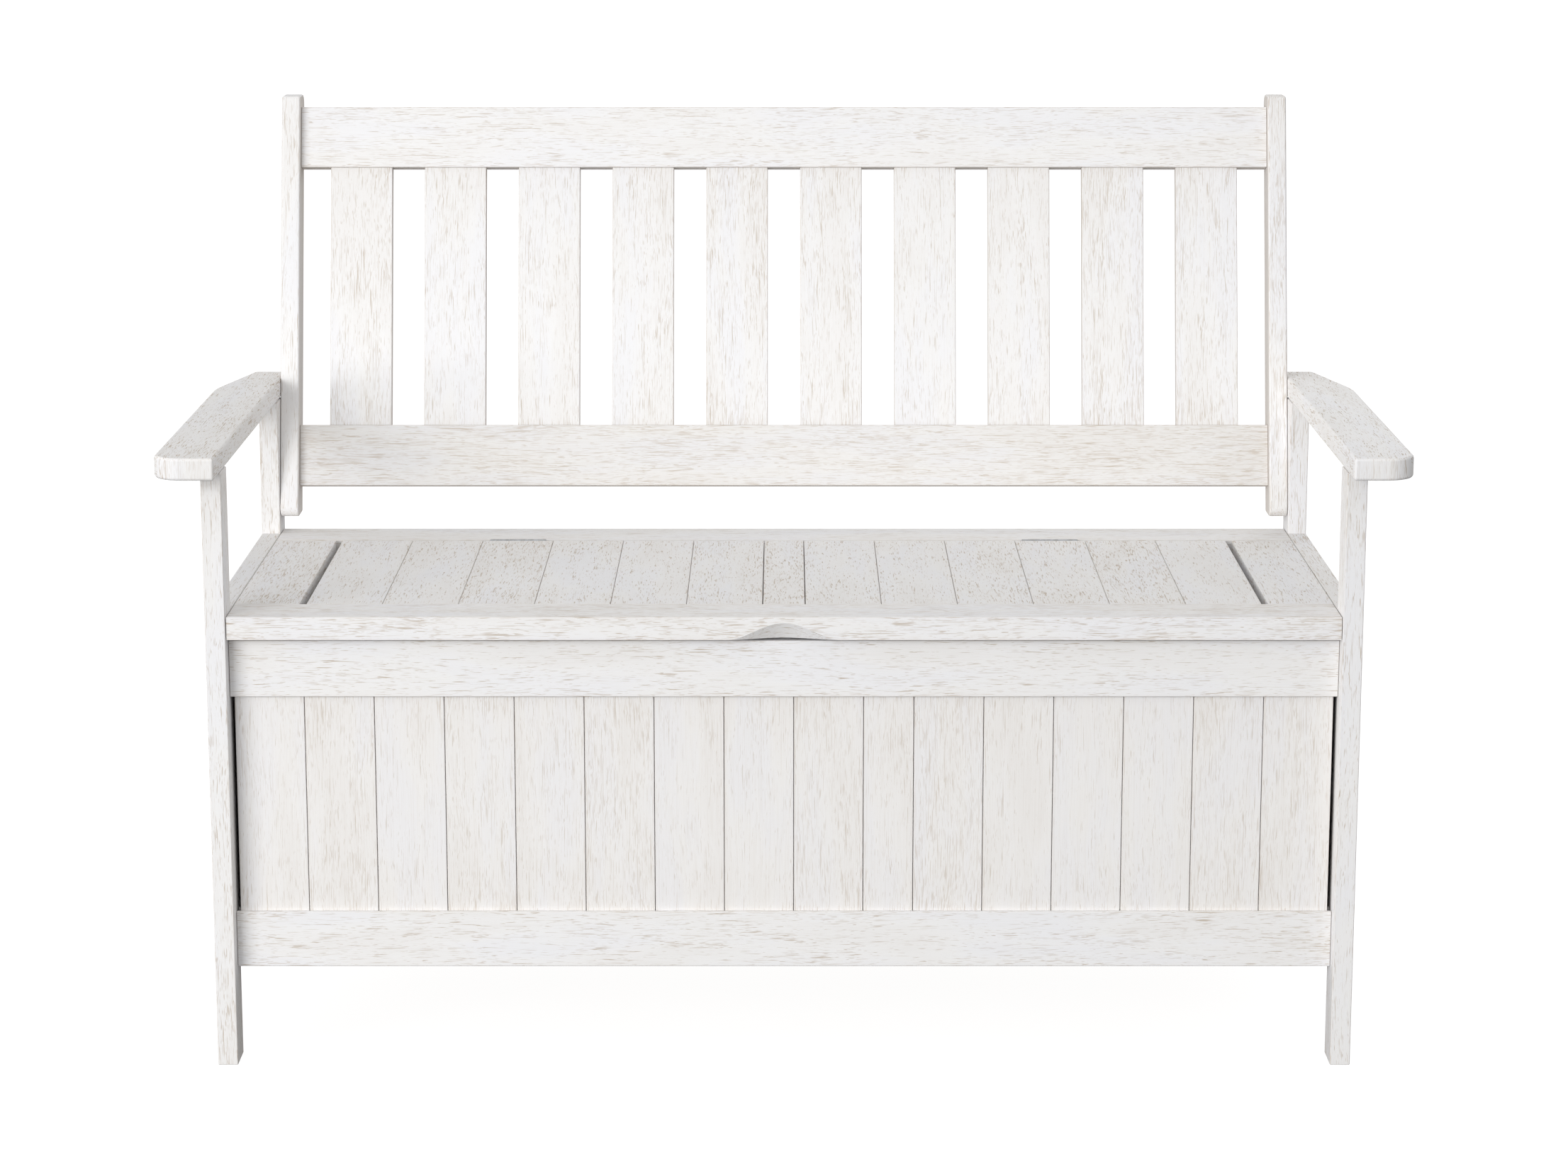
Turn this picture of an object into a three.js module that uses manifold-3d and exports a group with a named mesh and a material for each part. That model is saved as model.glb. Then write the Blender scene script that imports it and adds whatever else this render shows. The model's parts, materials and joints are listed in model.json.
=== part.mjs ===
// A slatted storage bench in white-washed wood, in millimetres, +Z up.
// The box below the seat is boarded on all four sides, and the seat is a lid that lifts on two hinges.
// The origin is on the floor, in the middle of the bench's width and depth. The front faces -Y.

import * as THREE from 'three';
import { mergeVertices } from 'three/addons/utils/BufferGeometryUtils.js';
import Module from 'manifold-3d';

// Overall sizes
const BODY_WIDTH = 1135.4; // across the outer faces of the posts
const BODY_DEPTH = 470; // front face of the front posts to rear face of the rear posts
const SEAT_TOP = 459.5; // floor to the top of the seat
const ARM_TOP = 625.3; // floor to the top of the armrests
const BACK_TOP = 924; // floor to the top of the back
const BACK_SET = 47.2; // front of the back, at seat level, to the rear posts' rear faces
const BACK_LEAN = THREE.MathUtils.degToRad(13.87); // lean of the back from upright

// Clearances
const TOUCH_GAP = 0.3; // between pieces that are glued or screwed together
const GROOVE_PLAY = 0.3; // beside a panel in its groove
const GROOVE_END_PLAY = 0.5; // beyond a panel's edge, at the bottom of its groove
const LID_SIDE_GAP = 0.7; // between the lid and the side rails
const LID_FRONT_SET = 2; // front posts' front face to the lid's front edge
const LID_REST_GAP = 3.8; // between the front top rail and the lid above it

// Posts and armrests
const POST_WIDTH = 20;
const POST_DEPTH = 40;
const ARM_THICK = 22;
const ARM_OVERHANG = 40.8; // beyond the posts' outer faces
const ARM_NOSE = 44.5; // beyond the front posts' front faces
const ARM_TAIL = 41; // beyond the rear posts' rear faces
const ARM_CORNER_RADIUS = 28; // the rounded front outer corner
const ARM_TAPER_LENGTH = 122; // the stretch that narrows towards the rear
const ARM_TAPER = 27; // how much it narrows

// Rails of the box, and the boarded panels in their grooves
const RAIL_THICK = 20; // front and rear rails; a side rail is as thick as the posts are wide
const RAIL_HEIGHT = 57;
const RAIL_SET = 17; // front and rear rails, behind the posts' outer faces
const BOX_BOTTOM = 98; // floor to the underside of the bottom rails
const PANEL_THICK = 10;
const PANEL_SIDE_GAP = 3.8; // between a panel and the posts beside it
const GROOVE_DEPTH = 8;
const SEAM_WIDTH = 1.6; // the V between two boards of a panel
const SEAM_DEPTH = 1.6;
const FRONT_BOARDS_LEFT = 9; // full boards left of the narrow one
const FRONT_BOARDS_RIGHT = 6;
const FRONT_NARROW_BOARD = 49.8;
const PANEL_BOARD_WIDTH = 68; // about, for the side and rear panels

// Floor of the box
const FLOOR_THICK = 10;
const CLEAT_SIZE = 20;

// Seat: the lid and the fixed rail behind it
const SEAT_THICK = 23;
const LID_RAIL_DEPTH = 62; // the lid's front rail
const REAR_RAIL_DEPTH = 64.5; // the fixed rail behind the lid
const REAR_RAIL_BACK_SET = 12; // behind it, to the rear posts' rear faces
const END_BOARD_WIDTH = 64.6;
const END_SLOT = 7; // the open slot beside each end board
const NARROW_BOARD_WIDTH = 41.6; // the middle board of the seat
const WIDE_BOARDS_PER_SIDE = 6;
const MIDDLE_GAP = 0.8; // on both sides of the middle board
const BOARD_GAP = 0.4; // between two wide boards
const BATTEN_THICK = 18;
const BATTEN_DEPTH = 50;
const BATTEN_FRONT_SET = 45; // front posts' front face to the front batten
const BATTEN_END_SET = 26; // lid's side edge to the batten's end

// The finger pull under the lid's front edge
const PULL_WIDTH = 118;
const PULL_HEIGHT = 17.3;
const PULL_DEPTH = 12;
const PULL_RUN_OUT = 0.3; // the curve's feet lie this far below the rail
const PULL_STEPS = 40;

// Hinges
const HINGE_GAP = 3.6; // between the lid and the fixed rear rail
const HINGE_DROP = 1; // the pin's axis below the seat's top
const HINGE_LENGTH = 60;
const LEAF_THICK = 1;
const LEAF_HEIGHT = 18; // below the pin's axis
const KNUCKLE_RADIUS = 2.2;
const KNUCKLE_BORE = 1.3;
const KNUCKLE_END_GAP = 0.4;
const LEAF_TOP_GAP = 0.5; // between a leaf's top and the other leaf's knuckles
const PIN_RADIUS = 1;
const ROUND_SIDES = 20;
const HINGE_RECESS_PLAY = 0.5; // around the knuckles, in the wood

// Back
const STILE_WIDTH = 20;
const STILE_THICK = 38;
const STILE_LIFT = 17.5; // seat top to the bottom of the stiles
const STILE_CORNER_RADIUS = 10; // the two sharp corners of a stile
const STILE_NOSE_RADIUS = 4; // the top corner at the front
const BACK_RAIL_THICK = 20;
const BACK_RAIL_HEIGHT = 66;
const TOP_RAIL_RISE = 468.3; // seat level to the top of the top rail, along the lean
const BOTTOM_RAIL_RISE = 54.2; // seat level to the bottom of the bottom rail, along the lean
const SLAT_COUNT = 10;
const SLAT_WIDTH = 67.3;
const SLAT_THICK = 12;
const SLAT_END_SET = 32.4; // between a stile and the slat next to it
const TENON_LENGTH = 10;

// Levels and places that follow from the sizes above
const POST_TOP = ARM_TOP - ARM_THICK - TOUCH_GAP;
const HALF_INSIDE = BODY_WIDTH / 2 - POST_WIDTH; // middle of the bench to a post's inner face
const SEAT_UNDERSIDE = SEAT_TOP - SEAT_THICK;
const FRONT_RAIL_TOP = SEAT_UNDERSIDE - LID_REST_GAP;
const REAR_RAIL_TOP = SEAT_UNDERSIDE - TOUCH_GAP;
const REAR_SEAT_BACK = BODY_DEPTH - REAR_RAIL_BACK_SET;
const REAR_SEAT_FRONT = REAR_SEAT_BACK - REAR_RAIL_DEPTH;
const LID_BACK = REAR_SEAT_FRONT - HINGE_GAP;
const LID_HALF = HALF_INSIDE - LID_SIDE_GAP;
const LID_BOARD_FRONT = LID_FRONT_SET + LID_RAIL_DEPTH + TOUCH_GAP;
const FIELD_HALF = LID_HALF - END_BOARD_WIDTH - END_SLOT; // half of the boards between the slots
const WIDE_START = NARROW_BOARD_WIDTH / 2 + MIDDLE_GAP; // middle of the bench to the first wide board
const WIDE_PITCH = (FIELD_HALF - WIDE_START + BOARD_GAP) / WIDE_BOARDS_PER_SIDE;
const HINGE_AXIS_Y = REAR_SEAT_FRONT - HINGE_GAP / 2;
const HINGE_AXIS_Z = SEAT_TOP - HINGE_DROP;
const HINGE_X = WIDE_START + WIDE_PITCH * 3.5 - BOARD_GAP / 2; // the middle of a wide board
const STILE_DEPTH = STILE_THICK / Math.cos(BACK_LEAN);
const ARM_BACK = BODY_DEPTH + ARM_TAIL;

const WOOD = { color: 0xe9e7e4, roughness: 0.7, metalness: 0 };
const STEEL = { color: 0xa9a8a4, roughness: 0.35, metalness: 0.9 };

const wasm = await Module();
wasm.setup();

const bench = new THREE.Group();
const body = new THREE.Group(); // y = 0 at the front posts' front faces
bench.add(body);
const back = new THREE.Group(); // leans with the back: y = 0 at the stiles' front, z = 0 at seat level
back.position.set(0, BODY_DEPTH - BACK_SET, SEAT_TOP);
back.rotation.x = -BACK_LEAN;
body.add(back);

// Turns a profile's x, y and extrusion into Y, Z and X, so that it runs along the bench's width.
const ALONG_X = new THREE.Matrix4().makeBasis(
  new THREE.Vector3(0, 1, 0),
  new THREE.Vector3(0, 0, 1),
  new THREE.Vector3(1, 0, 0),
);

function addPiece(parent, name, geometry, finish) {
  const mesh = new THREE.Mesh(geometry, new THREE.MeshStandardMaterial(finish));
  mesh.name = name;
  parent.add(mesh);
  return mesh;
}

// A box between two limits on each axis.
function block([x0, x1], [y0, y1], [z0, z1]) {
  const geometry = new THREE.BoxGeometry(x1 - x0, y1 - y0, z1 - z0);
  return geometry.translate((x0 + x1) / 2, (y0 + y1) / 2, (z0 + z1) / 2);
}

function mirrored([low, high], side) {
  return side < 0 ? [-high, -low] : [low, high];
}

function extruded(shape, depth) {
  return new THREE.ExtrudeGeometry(shape, { depth, bevelEnabled: false });
}

function toManifold(geometry) {
  const bare = geometry.clone();
  bare.deleteAttribute('normal');
  bare.deleteAttribute('uv');
  const merged = mergeVertices(bare, 1e-4);
  const vertProperties = new Float32Array(merged.attributes.position.array);
  const triVerts = new Uint32Array(merged.index.array);
  return new wasm.Manifold(new wasm.Mesh({ numProp: 3, vertProperties, triVerts }));
}

function toGeometry(solid) {
  const mesh = solid.getMesh();
  const geometry = new THREE.BufferGeometry();
  geometry.setAttribute('position', new THREE.BufferAttribute(mesh.vertProperties, 3));
  geometry.setIndex(new THREE.BufferAttribute(mesh.triVerts, 1));
  const faceted = geometry.toNonIndexed();
  faceted.computeVertexNormals();
  return faceted;
}

function cut(geometry, cutters) {
  let solid = toManifold(geometry);
  for (const cutter of cutters) {
    solid = solid.subtract(toManifold(cutter));
  }
  return toGeometry(solid);
}

function joined(geometries) {
  let solid = toManifold(geometries[0]);
  for (const geometry of geometries.slice(1)) {
    solid = solid.add(toManifold(geometry));
  }
  return toGeometry(solid);
}

// A closed outline through the corners, each rounded by its own radius where that isn't 0.
function roundedOutline(corners, radii, segments = 8) {
  const points = [];
  corners.forEach((corner, i) => {
    if (radii[i] === 0) {
      points.push(corner);
      return;
    }
    const before = corners[(i + corners.length - 1) % corners.length];
    const after = corners[(i + 1) % corners.length];
    const toBefore = before.clone().sub(corner).normalize();
    const toAfter = after.clone().sub(corner).normalize();
    const half = Math.acos(toBefore.dot(toAfter)) / 2;
    const middle = toBefore.clone().add(toAfter).normalize();
    const centre = corner.clone().addScaledVector(middle, radii[i] / Math.sin(half));
    const sweep = Math.PI - 2 * half;
    for (let step = 0; step <= segments; step += 1) {
      const turn = sweep * (step / segments - 0.5);
      const turned = middle.clone().negate().rotateAround(new THREE.Vector2(), turn);
      points.push(centre.clone().addScaledVector(turned, radii[i]));
    }
  });
  return new THREE.Shape(points);
}

// Posts: one at each corner, from the floor to the underside of the armrests.
const postX = [HALF_INSIDE, HALF_INSIDE + POST_WIDTH];
for (const [sideName, side] of [['left', -1], ['right', 1]]) {
  for (const [placeName, y0] of [['front', 0], ['rear', BODY_DEPTH - POST_DEPTH]]) {
    const post = block(mirrored(postX, side), [y0, y0 + POST_DEPTH], [0, POST_TOP]);
    addPiece(body, `${placeName}_post_${sideName}`, post, WOOD);
  }
}

// Armrests: flat boards on the posts, rounded at the front outer corner and narrowed at the rear.
const armInner = HALF_INSIDE;
const armOuter = BODY_WIDTH / 2 + ARM_OVERHANG;
for (const [sideName, side] of [['left', -1], ['right', 1]]) {
  const corners = [
    new THREE.Vector2(side * armInner, -ARM_NOSE),
    new THREE.Vector2(side * armOuter, -ARM_NOSE),
    new THREE.Vector2(side * armOuter, ARM_BACK - ARM_TAPER_LENGTH),
    new THREE.Vector2(side * (armOuter - ARM_TAPER), ARM_BACK),
    new THREE.Vector2(side * armInner, ARM_BACK),
  ];
  const radii = [0, ARM_CORNER_RADIUS, 0, 0, 0];
  if (side < 0) {
    corners.reverse();
    radii.reverse();
  }
  const arm = extruded(roundedOutline(corners, radii), ARM_THICK);
  addPiece(body, `armrest_${sideName}`, arm, WOOD).position.z = ARM_TOP - ARM_THICK;
}

// A rail along X, its thickness centred on y = 0 and its underside at z = 0, grooved for a panel.
function groovedRail(length, thickness, grooveOnTop) {
  const halfRail = thickness / 2;
  const halfGroove = PANEL_THICK / 2 + GROOVE_PLAY;
  const points = [
    new THREE.Vector2(-halfRail, 0),
    new THREE.Vector2(halfRail, 0),
    new THREE.Vector2(halfRail, RAIL_HEIGHT),
    new THREE.Vector2(halfGroove, RAIL_HEIGHT),
    new THREE.Vector2(halfGroove, RAIL_HEIGHT - GROOVE_DEPTH),
    new THREE.Vector2(-halfGroove, RAIL_HEIGHT - GROOVE_DEPTH),
    new THREE.Vector2(-halfGroove, RAIL_HEIGHT),
    new THREE.Vector2(-halfRail, RAIL_HEIGHT),
  ];
  if (!grooveOnTop) {
    for (const point of points) {
      point.y = RAIL_HEIGHT - point.y;
    }
    points.reverse();
  }
  return extruded(new THREE.Shape(points), length).applyMatrix4(ALONG_X).translate(-length / 2, 0, 0);
}

// A panel along X with a V seam between its boards, on the face towards -Y. Its thickness is centred
// on y = 0 and its lower edge is at z = 0.
function boardedPanel(width, height, boardWidths) {
  const halfPanel = PANEL_THICK / 2;
  const points = [new THREE.Vector2(-width / 2, -halfPanel)];
  let seam = -width / 2;
  for (const boardWidth of boardWidths.slice(0, -1)) {
    seam += boardWidth;
    points.push(new THREE.Vector2(seam - SEAM_WIDTH / 2, -halfPanel));
    points.push(new THREE.Vector2(seam, -halfPanel + SEAM_DEPTH));
    points.push(new THREE.Vector2(seam + SEAM_WIDTH / 2, -halfPanel));
  }
  points.push(new THREE.Vector2(width / 2, -halfPanel));
  points.push(new THREE.Vector2(width / 2, halfPanel));
  points.push(new THREE.Vector2(-width / 2, halfPanel));
  return extruded(new THREE.Shape(points), height);
}

function evenBoards(width) {
  const count = Math.round(width / PANEL_BOARD_WIDTH);
  return Array(count).fill(width / count);
}

// The four sides of the box: a top rail, a bottom rail and a panel held in their grooves.
const frontSpan = 2 * HALF_INSIDE;
const sideSpan = BODY_DEPTH - 2 * POST_DEPTH;
const frontPanelWidth = frontSpan - 2 * PANEL_SIDE_GAP;
const frontBoardCount = FRONT_BOARDS_LEFT + FRONT_BOARDS_RIGHT;
const frontBoardWidth = (frontPanelWidth - FRONT_NARROW_BOARD) / frontBoardCount;
const frontBoards = [
  ...Array(FRONT_BOARDS_LEFT).fill(frontBoardWidth),
  FRONT_NARROW_BOARD,
  ...Array(FRONT_BOARDS_RIGHT).fill(frontBoardWidth),
];
const sideRailX = HALF_INSIDE + POST_WIDTH / 2;
const frontRailY = RAIL_SET + RAIL_THICK / 2;
const rearRailY = BODY_DEPTH - RAIL_SET - RAIL_THICK / 2;
const quarter = Math.PI / 2;
const middleY = BODY_DEPTH / 2;
const longSide = { span: frontSpan, thickness: RAIL_THICK };
const shortSide = { span: sideSpan, thickness: POST_WIDTH, top: SEAT_TOP };
const boxSides = [
  { ...longSide, name: 'front', turn: 0, x: 0, y: frontRailY, top: FRONT_RAIL_TOP, boards: frontBoards },
  { ...longSide, name: 'rear', turn: 2 * quarter, x: 0, y: rearRailY, top: REAR_RAIL_TOP },
  { ...shortSide, name: 'left', turn: -quarter, x: -sideRailX, y: middleY },
  { ...shortSide, name: 'right', turn: quarter, x: sideRailX, y: middleY },
];
const panelBottom = BOX_BOTTOM + RAIL_HEIGHT - GROOVE_DEPTH + GROOVE_END_PLAY;
for (const side of boxSides) {
  const railLength = side.span - 2 * TOUCH_GAP;
  const panelTop = side.top - RAIL_HEIGHT + GROOVE_DEPTH - GROOVE_END_PLAY;
  const panelWidth = side.span - 2 * PANEL_SIDE_GAP;
  const boards = side.boards ?? evenBoards(panelWidth);
  const pieces = [
    ['top_rail', groovedRail(railLength, side.thickness, false), side.top - RAIL_HEIGHT],
    ['bottom_rail', groovedRail(railLength, side.thickness, true), BOX_BOTTOM],
    ['panel', boardedPanel(panelWidth, panelTop - panelBottom, boards), panelBottom],
  ];
  for (const [pieceName, geometry, z] of pieces) {
    const piece = addPiece(body, `${side.name}_${pieceName}`, geometry, WOOD);
    piece.position.set(side.x, side.y, z);
    piece.rotation.z = side.turn;
  }
}

// Floor of the box: a sheet on two cleats, which are screwed to the front and rear bottom rails.
const floorFront = RAIL_SET + RAIL_THICK + TOUCH_GAP;
const floorBack = BODY_DEPTH - floorFront;
const floorX = [-HALF_INSIDE + TOUCH_GAP, HALF_INSIDE - TOUCH_GAP];
const cleatZ = [BOX_BOTTOM, BOX_BOTTOM + CLEAT_SIZE];
const floorZ = cleatZ[1] + TOUCH_GAP;
addPiece(body, 'floor_cleat_front', block(floorX, [floorFront, floorFront + CLEAT_SIZE], cleatZ), WOOD);
addPiece(body, 'floor_cleat_rear', block(floorX, [floorBack - CLEAT_SIZE, floorBack], cleatZ), WOOD);
addPiece(body, 'floor_panel', block(floorX, [floorFront, floorBack], [floorZ, floorZ + FLOOR_THICK]), WOOD);

// A round bar along X, centred on the hinges' axis at x.
function barOnHingeAxis(radius, length, x) {
  const bar = new THREE.CylinderGeometry(radius, radius, length, ROUND_SIDES);
  return bar.rotateZ(Math.PI / 2).translate(x, HINGE_AXIS_Y, HINGE_AXIS_Z);
}

// The shallow recess in the wood around one hinge's knuckles.
function hingeRecess(x) {
  const reach = KNUCKLE_RADIUS + HINGE_RECESS_PLAY;
  const halfLength = HINGE_LENGTH / 2 + HINGE_RECESS_PLAY;
  return block(
    [x - halfLength, x + halfLength],
    [HINGE_AXIS_Y - reach, HINGE_AXIS_Y + reach],
    [HINGE_AXIS_Z - reach, HINGE_AXIS_Z + 2 * reach],
  );
}

// The fixed rail behind the lid, resting on the rear top rail.
const seatZ = [SEAT_UNDERSIDE, SEAT_TOP];
const seatRearRail = block([-LID_HALF, LID_HALF], [REAR_SEAT_FRONT, REAR_SEAT_BACK], seatZ);
addPiece(body, 'seat_rear_rail', cut(seatRearRail, [hingeRecess(-HINGE_X), hingeRecess(HINGE_X)]), WOOD);

// The lid's front rail, with the finger pull: a bell-shaped wave in the front face, cut back along a
// slant that runs out at the underside.
const pullLead = 1; // the cutter starts this far in front of the rail
const pullLength = PULL_DEPTH + 2 * pullLead;
const pullSlope = PULL_HEIGHT / PULL_DEPTH;
const pullOutline = [
  new THREE.Vector2(PULL_WIDTH / 2, -PULL_HEIGHT),
  new THREE.Vector2(-PULL_WIDTH / 2, -PULL_HEIGHT),
];
for (let step = 0; step <= PULL_STEPS; step += 1) {
  const share = step / PULL_STEPS;
  const rise = (PULL_HEIGHT * (1 - Math.cos(2 * Math.PI * share))) / 2;
  pullOutline.push(new THREE.Vector2((share - 0.5) * PULL_WIDTH, rise));
}
const pullCutter = extruded(new THREE.Shape(pullOutline), pullLength).rotateX(Math.PI / 2);
pullCutter.translate(0, pullLength - pullLead, 0);
pullCutter.applyMatrix4(new THREE.Matrix4().makeShear(0, 0, 0, -pullSlope, 0, 0));
pullCutter.translate(0, LID_FRONT_SET, SEAT_UNDERSIDE - PULL_RUN_OUT);
const lidRailY = [LID_FRONT_SET, LID_FRONT_SET + LID_RAIL_DEPTH];
const lidRail = block([-LID_HALF, LID_HALF], lidRailY, seatZ);
addPiece(body, 'lid_front_rail', cut(lidRail, [pullCutter]), WOOD);

// The lid's boards, from front to rear: an end board and a slot at each side, wide boards between
// them, and one narrow board in the middle.
function addLidBoard(name, x, recessed = false) {
  const board = block(x, [LID_BOARD_FRONT, LID_BACK], seatZ);
  const middle = (x[0] + x[1]) / 2;
  addPiece(body, name, recessed ? cut(board, [hingeRecess(middle)]) : board, WOOD);
}

addLidBoard('lid_board_middle', [-NARROW_BOARD_WIDTH / 2, NARROW_BOARD_WIDTH / 2]);
for (const [sideName, side] of [['left', -1], ['right', 1]]) {
  for (let i = 0; i < WIDE_BOARDS_PER_SIDE; i += 1) {
    const inner = WIDE_START + i * WIDE_PITCH;
    const outer = inner + WIDE_PITCH - BOARD_GAP;
    const holdsHinge = inner < HINGE_X && HINGE_X < outer;
    addLidBoard(`lid_board_${sideName}_${i + 1}`, mirrored([inner, outer], side), holdsHinge);
  }
  addLidBoard(`lid_end_board_${sideName}`, mirrored([LID_HALF - END_BOARD_WIDTH, LID_HALF], side));
}

// Two battens under the boards hold the lid together.
const battenX = [-LID_HALF + BATTEN_END_SET, LID_HALF - BATTEN_END_SET];
const battenTop = SEAT_UNDERSIDE - TOUCH_GAP;
const battenZ = [battenTop - BATTEN_THICK, battenTop];
const frontBattenY = [BATTEN_FRONT_SET, BATTEN_FRONT_SET + BATTEN_DEPTH];
const rearBattenY = [LID_BACK - BATTEN_DEPTH, LID_BACK];
addPiece(body, 'lid_batten_front', block(battenX, frontBattenY, battenZ), WOOD);
addPiece(body, 'lid_batten_rear', block(battenX, rearBattenY, battenZ), WOOD);

// Hinges: a leaf on the lid with the middle knuckle, a leaf on the fixed rail with the two outer
// knuckles, and the pin through them.
function hingeLeaf(x, side, knuckles) {
  const near = HINGE_GAP / 2 - TOUCH_GAP - LEAF_THICK;
  const leafY = mirrored([near, near + LEAF_THICK], side).map((y) => y + HINGE_AXIS_Y);
  const clearOfKnuckles = HINGE_AXIS_Z - KNUCKLE_RADIUS - LEAF_TOP_GAP;
  const leafX = [x - HINGE_LENGTH / 2, x + HINGE_LENGTH / 2];
  const parts = [block(leafX, leafY, [HINGE_AXIS_Z - LEAF_HEIGHT, clearOfKnuckles])];
  const neckTop = HINGE_AXIS_Z - (KNUCKLE_RADIUS + KNUCKLE_BORE) / 2 + LEAF_TOP_GAP / 2;
  const bores = [];
  for (const [start, end] of knuckles) {
    const middle = (start + end) / 2;
    parts.push(barOnHingeAxis(KNUCKLE_RADIUS, end - start, middle));
    parts.push(block([start, end], leafY, [clearOfKnuckles - LEAF_TOP_GAP, neckTop]));
    bores.push(barOnHingeAxis(KNUCKLE_BORE, end - start + 2, middle));
  }
  return cut(joined(parts), bores);
}

const knuckleLength = (HINGE_LENGTH - 2 * KNUCKLE_END_GAP) / 3;
for (const [sideName, side] of [['left', -1], ['right', 1]]) {
  const x = side * HINGE_X;
  const start = x - HINGE_LENGTH / 2;
  const end = x + HINGE_LENGTH / 2;
  const middle = [x - knuckleLength / 2, x + knuckleLength / 2];
  const outer = [[start, start + knuckleLength], [end - knuckleLength, end]];
  addPiece(body, `hinge_lid_leaf_${sideName}`, hingeLeaf(x, -1, [middle]), STEEL);
  addPiece(body, `hinge_fixed_leaf_${sideName}`, hingeLeaf(x, 1, outer), STEEL);
  addPiece(body, `hinge_pin_${sideName}`, barOnHingeAxis(PIN_RADIUS, HINGE_LENGTH, x), STEEL);
}

// Stiles of the back: leaning boards bolted inside the rear posts, cut level at both ends, with the
// two sharp corners rounded.
function stileFaceY(z) {
  return BODY_DEPTH - BACK_SET + Math.tan(BACK_LEAN) * (z - SEAT_TOP);
}

const stileBottom = SEAT_TOP + STILE_LIFT;
const stileCorners = [
  new THREE.Vector2(stileFaceY(stileBottom), stileBottom),
  new THREE.Vector2(stileFaceY(stileBottom) + STILE_DEPTH, stileBottom),
  new THREE.Vector2(stileFaceY(BACK_TOP) + STILE_DEPTH, BACK_TOP),
  new THREE.Vector2(stileFaceY(BACK_TOP), BACK_TOP),
];
const stileRadii = [STILE_CORNER_RADIUS, 0, STILE_CORNER_RADIUS, STILE_NOSE_RADIUS];
const stileOutline = roundedOutline(stileCorners, stileRadii);
const stileOuter = HALF_INSIDE - TOUCH_GAP;
for (const [sideName, x0] of [['left', -stileOuter], ['right', stileOuter - STILE_WIDTH]]) {
  const stile = extruded(stileOutline, STILE_WIDTH).applyMatrix4(ALONG_X);
  addPiece(body, `back_stile_${sideName}`, stile, WOOD).position.x = x0;
}

// Slats of the back, tenoned into the top and bottom rails, all centred in the stiles' thickness.
const backHalf = stileOuter - STILE_WIDTH;
const slatPitch = (2 * (backHalf - SLAT_END_SET) - SLAT_WIDTH) / (SLAT_COUNT - 1);
const slatMiddleY = STILE_THICK / 2;
const slatY = [slatMiddleY - SLAT_THICK / 2, slatMiddleY + SLAT_THICK / 2];
const slatZ = [
  BOTTOM_RAIL_RISE + BACK_RAIL_HEIGHT - TENON_LENGTH,
  TOP_RAIL_RISE - BACK_RAIL_HEIGHT + TENON_LENGTH,
];
const mortises = [];
for (let i = 0; i < SLAT_COUNT; i += 1) {
  const x = (i - (SLAT_COUNT - 1) / 2) * slatPitch;
  const slatX = [x - SLAT_WIDTH / 2, x + SLAT_WIDTH / 2];
  addPiece(back, `back_slat_${i + 1}`, block(slatX, slatY, slatZ), WOOD);
  mortises.push(block(
    [slatX[0] - TOUCH_GAP, slatX[1] + TOUCH_GAP],
    [slatY[0] - TOUCH_GAP, slatY[1] + TOUCH_GAP],
    [slatZ[0] - TOUCH_GAP, slatZ[1] + TOUCH_GAP],
  ));
}
const backRailX = [-backHalf + TOUCH_GAP, backHalf - TOUCH_GAP];
const backRailY = [slatMiddleY - BACK_RAIL_THICK / 2, slatMiddleY + BACK_RAIL_THICK / 2];
const backRails = [
  ['back_top_rail', [TOP_RAIL_RISE - BACK_RAIL_HEIGHT, TOP_RAIL_RISE]],
  ['back_bottom_rail', [BOTTOM_RAIL_RISE, BOTTOM_RAIL_RISE + BACK_RAIL_HEIGHT]],
];
for (const [name, railZ] of backRails) {
  addPiece(back, name, cut(block(backRailX, backRailY, railZ), mortises), WOOD);
}

// The finished bench is centred in depth over the origin.
bench.updateMatrixWorld(true);
const extent = new THREE.Box3().setFromObject(body, true);
body.position.y = -(extent.min.y + extent.max.y) / 2;

export default bench;
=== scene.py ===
import json
import math
import random

import bmesh
import bpy
from mathutils import Matrix, Vector


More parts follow.
